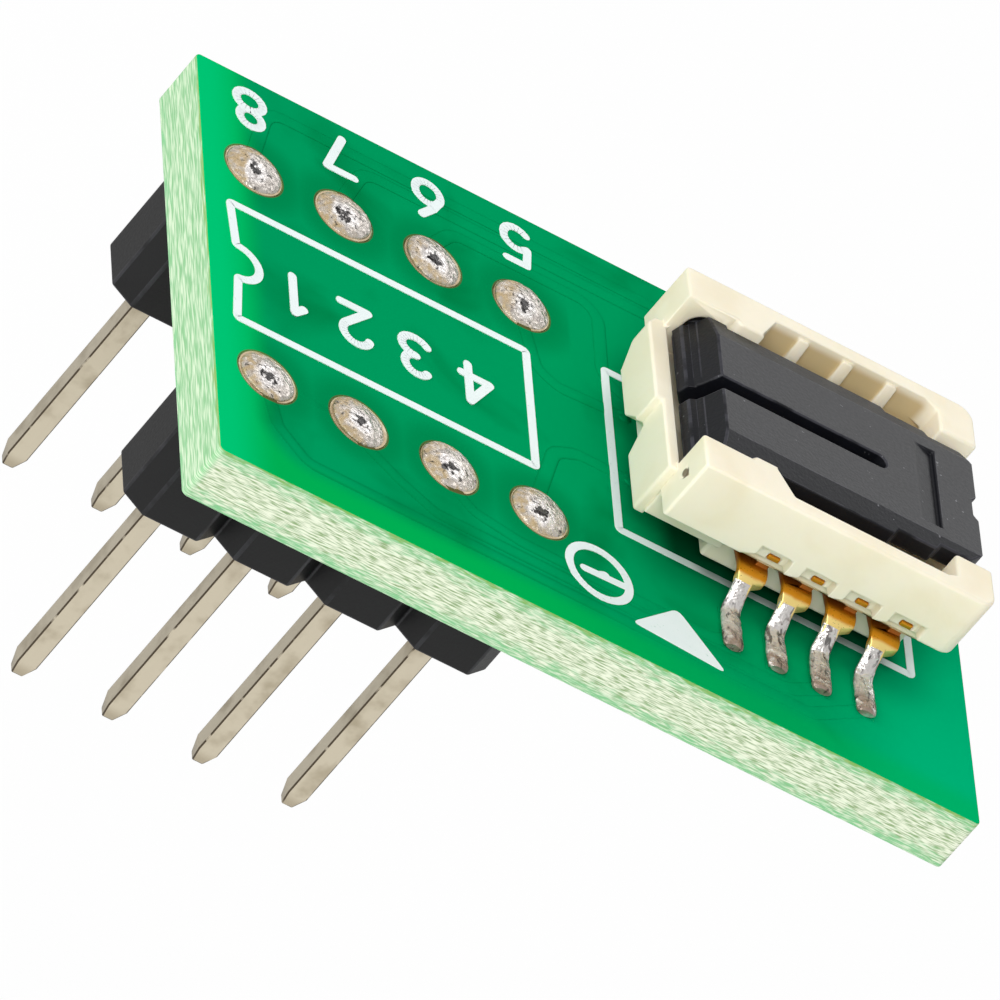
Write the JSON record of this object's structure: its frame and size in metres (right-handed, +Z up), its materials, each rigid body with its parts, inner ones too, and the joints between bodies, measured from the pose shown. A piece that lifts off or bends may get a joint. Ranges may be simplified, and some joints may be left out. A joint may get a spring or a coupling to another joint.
{
  "type": "ic socket adapter",
  "caption": "Small circuit board that carries a hinged-lid socket for a leadless chip package on a dual-in-line pin plug.",
  "frame": {"origin": "centre of the eight-pin pattern on the underside of the header strips, the plane that seats on a socket or board", "axes": "+X along the board from the pins towards the socket, +Y across the pin rows to the rear row, +Z up from the pins to the socket"},
  "size_m": [0.0214, 0.0146, 0.0136],
  "materials": {
    "board": "glossy green solder mask over glass-fibre laminate",
    "header_plastic": "moulded black",
    "base_plastic": "moulded ivory, slightly translucent",
    "lid_plastic": "moulded black with a fine grain",
    "pin_metal": "tin-plated",
    "copper": "bare plated copper",
    "solder": "bright solder",
    "contact_gold": "gold-plated spring strip"
  },
  "bodies": {
    "adapter": {"circuit_board": "board", "header_strip_front": "header_plastic", "header_strip_rear": "header_plastic", "socket_base": "base_plastic", "header_pin_1": "pin_metal", "header_pin_2": "pin_metal", "header_pin_3": "pin_metal", "header_pin_4": "pin_metal", "header_pin_5": "pin_metal", "header_pin_6": "pin_metal", "header_pin_7": "pin_metal", "header_pin_8": "pin_metal", "plated_hole_1": "copper", "plated_hole_2": "copper", "plated_hole_3": "copper", "plated_hole_4": "copper", "plated_hole_5": "copper", "plated_hole_6": "copper", "plated_hole_7": "copper", "plated_hole_8": "copper", "contact_pad_1": "copper", "contact_pad_2": "copper", "contact_pad_3": "copper", "contact_pad_4": "copper", "contact_pad_5": "copper", "contact_pad_6": "copper", "contact_pad_7": "copper", "contact_pad_8": "copper", "pin_solder_1": "solder", "pin_solder_2": "solder", "pin_solder_3": "solder", "pin_solder_4": "solder", "pin_solder_5": "solder", "pin_solder_6": "solder", "pin_solder_7": "solder", "pin_solder_8": "solder", "contact_solder_1": "solder", "contact_solder_2": "solder", "contact_solder_3": "solder", "contact_solder_4": "solder", "contact_solder_5": "solder", "contact_solder_6": "solder", "contact_solder_7": "solder", "contact_solder_8": "solder", "contact_1": "contact_gold", "contact_2": "contact_gold", "contact_3": "contact_gold", "contact_4": "contact_gold", "contact_5": "contact_gold", "contact_6": "contact_gold", "contact_7": "contact_gold", "contact_8": "contact_gold"},
    "lid": {"socket_lid": "lid_plastic"}
  },
  "joints": [
    {"name": "lid_hinge", "type": "hinge", "parent": "adapter", "child": "lid", "pos_m": [0.0072, 0, 0.00649], "axis": [0, -1, 0], "range_deg": [0, 105]}
  ]
}
